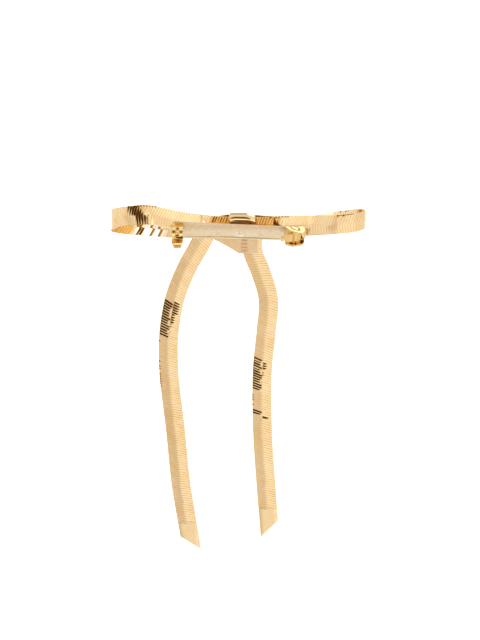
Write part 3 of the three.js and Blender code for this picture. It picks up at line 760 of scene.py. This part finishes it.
# Soft boxes and dark corners of the studio: azimuth, elevation, inner and outer radius, change in light.
ROOM_ZONES = [
    (13, 12, 16, 23, -1.0),
    (0, 44, 5, 9, 0.8),
    (0, 76, 13, 22, -0.85),
    (180, 22, 8, 16, -0.35),
    (0, -50, 6, 14, 0.45),
    (-38, -44, 9, 15, -0.95),
    (0, -82, 6, 14, -0.4),
    (168, 19, 4, 8, 1.8),
    (-20, -24, 4, 20, -0.22),
    (24, -24, 6, 24, 0.18),
    (60, 50, 12, 26, 0.3),
    (-60, 45, 12, 26, 0.3),
    (180, -60, 20, 50, -0.35),
]


def studio():
    """A white backdrop for the camera, and a room of soft boxes and dark corners for the reflections."""
    world = bpy.data.worlds.new("studio")
    bpy.context.scene.world = world
    world.use_nodes = True
    tree = world.node_tree
    tree.nodes.clear()
    place = add(tree, "ShaderNodeTexCoord").outputs["Generated"]
    light = add(tree, "ShaderNodeMath", {0: ROOM_LIGHT, 1: 0.0}, operation="ADD").outputs[0]
    for azimuth, elevation, inner, outer, change in ROOM_ZONES:
        zone = direction_zone(tree, place, azimuth, elevation, inner, outer)
        step = add(tree, "ShaderNodeMath", {1: change}, operation="MULTIPLY_ADD")
        tree.links.new(zone, step.inputs[0])
        tree.links.new(light, step.inputs[2])
        light = step.outputs[0]
    level = add(tree, "ShaderNodeMath", {1: DARKEST}, operation="MAXIMUM")
    tree.links.new(light, level.inputs[0])
    room = add(tree, "ShaderNodeBackground")
    tree.links.new(level.outputs[0], room.inputs["Strength"])
    tree.links.new(mix_colours(tree, level.outputs[0], DARK_TINT, (1, 1, 1)), room.inputs["Color"])
    plain = add(tree, "ShaderNodeBackground", {"Strength": BACKDROP_LIGHT})
    plain.inputs["Color"].default_value = (1, 1, 1, 1)
    chosen = add(tree, "ShaderNodeMixShader")
    tree.links.new(add(tree, "ShaderNodeLightPath").outputs["Is Camera Ray"], chosen.inputs[0])
    tree.links.new(room.outputs[0], chosen.inputs[1])
    tree.links.new(plain.outputs[0], chosen.inputs[2])
    output = add(tree, "ShaderNodeOutputWorld")
    tree.links.new(chosen.outputs[0], output.inputs["Surface"])


def soft_light(name, place, size, power):
    """A square lamp that lights the bow but isn't seen in its reflections."""
    data = bpy.data.lights.new(name, "AREA")
    data.size = size
    data.energy = power
    made = bpy.data.objects.new(name, data)
    made.location = place
    made.rotation_euler = (Vector(BOW_CENTRE) - Vector(place)).to_track_quat("-Z", "Y").to_euler()
    made.visible_glossy = False
    bpy.context.scene.collection.objects.link(made)


def pale_floor():
    bpy.ops.mesh.primitive_plane_add(size=8, location=(0, 0, cad_box[0].z - FLOOR_GAP))
    made = bpy.context.object
    made.name = "floor"
    material, tree = new_material("pale_floor")
    place = add(tree, "ShaderNodeTexCoord").outputs["Object"]
    shader = add(tree, "ShaderNodeBsdfPrincipled", {"Roughness": 0.8, "Specular IOR Level": 0.1})
    patches = spread(tree, noise(tree, place, 3), 0, 1)
    tone = mix_colours(tree, patches, (0.97, 0.97, 0.97), (0.95, 0.95, 0.95))
    tree.links.new(tone, shader.inputs["Base Color"])
    output = add(tree, "ShaderNodeOutputMaterial")
    tree.links.new(shader.outputs[0], output.inputs["Surface"])
    made.data.materials.append(material)
    made.visible_glossy = False


# ---------------------------------------------------------------- assembly
camera()
studio()
pale_floor()
soft_light("key_light", (-0.5, -0.3, 0.9), 0.6, 9)
soft_light("fill_light", (0.7, -0.6, 0.5), 0.5, 5)
bpy.context.scene.view_settings.view_transform = "Standard"

finished("bar_plate", 0.3, PLATE_GOLD, worn=bar_tapered, flat=True)
finished("backing_plate", 0.14, TAB_GOLD, worn=bar_tapered, flat=True)
finished("ribbed_tab", 0.06, TAB_GOLD)
finished("centre_rivet", 0.03, RIVET_GOLD)
for rivet in ("left_rivet", "right_rivet"):
    finished(rivet, 0.03, PLATE_GOLD)
finished("catch_body", 0.3, FITTING_GOLD, worn=drawn_in)
finished("catch_sleeve", 0.2, FITTING_GOLD, "safety_sleeve", worn=drawn_in)
finished("hinge_bracket", 0.25, HINGE_GOLD, worn=ears_bent)
finished("hinge_pin", 0.08, HINGE_GOLD, worn=ears_bent)
finished("pin_knuckle", 0.2, HINGE_GOLD, "pin", worn=collar_slim)
finished("pin_stem", 0.02, STEM_GOLD, "pin")
finished("knot_core", 0.2, FITTING_GOLD)

knot_band()
loop("left", LEFT_LOOP_ROUTE, -1, LEFT_LEANS, LEFT_LOOP_PATCHES, LEFT_ROLLS, -1.0)
loop("right", RIGHT_LOOP_ROUTE, 1, RIGHT_LEANS, RIGHT_LOOP_PATCHES, RIGHT_ROLLS, 2.5)
tail("left", LEFT_TAIL_ROUTE, LEFT_ROOT_LENGTH, 1, LEFT_TAIL_PATCHES)
tail("right", RIGHT_TAIL_ROUTE, RIGHT_ROOT_LENGTH, -1, RIGHT_TAIL_PATCHES)
